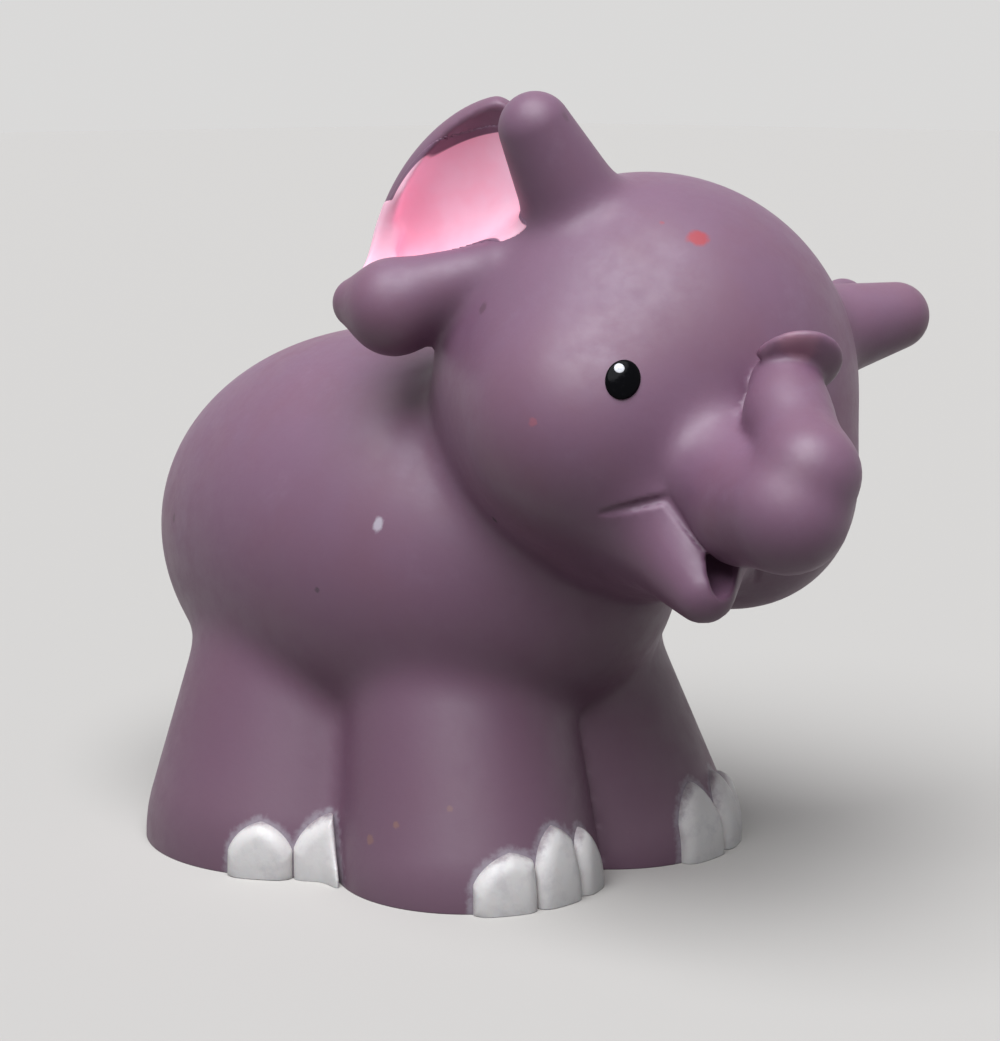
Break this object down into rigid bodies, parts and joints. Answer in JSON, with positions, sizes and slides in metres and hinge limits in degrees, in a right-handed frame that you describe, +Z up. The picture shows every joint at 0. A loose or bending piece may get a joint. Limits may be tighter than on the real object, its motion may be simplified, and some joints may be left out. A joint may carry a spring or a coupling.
{
  "type": "toy wild animal figure",
  "caption": "Chunky soft vinyl toy elephant on short flared legs, head turned and tilted, with a raised trunk, pink-lined ears, white toenails and an oval plate underneath.",
  "frame": {"origin": "middle of the oval plate's flat underside, level with the soles that the toy stands on", "axes": "-Y is the way the body faces (the head is turned to its right of that), +X is the toy's own left, +Z is up"},
  "size_m": [0.0635, 0.0967, 0.0765],
  "materials": {
    "vinyl_skin": "purple soft vinyl, satin, slightly scuffed",
    "plate_plastic": "dark purple moulded plastic, satin",
    "eye_paint": "gloss black paint",
    "glint_paint": "white paint dot",
    "ear_paint": "sprayed pink paint, matt",
    "nail_paint": "sprayed white paint, satin"
  },
  "bodies": {
    "root": {"body_skin": "vinyl_skin", "base_plate": "plate_plastic", "eye_right": "eye_paint", "eye_left": "eye_paint", "eye_glint_right": "glint_paint", "eye_glint_left": "glint_paint", "ear_lining_right": "ear_paint", "ear_lining_left": "ear_paint", "toenail_front_right_outer": "nail_paint", "toenail_front_right_middle": "nail_paint", "toenail_front_right_inner": "nail_paint", "toenail_front_left_outer": "nail_paint", "toenail_front_left_middle": "nail_paint", "toenail_front_left_inner": "nail_paint", "toenail_rear_right_outer": "nail_paint", "toenail_rear_right_inner": "nail_paint", "toenail_rear_left_outer": "nail_paint", "toenail_rear_left_inner": "nail_paint"}
  },
  "joints": []
}
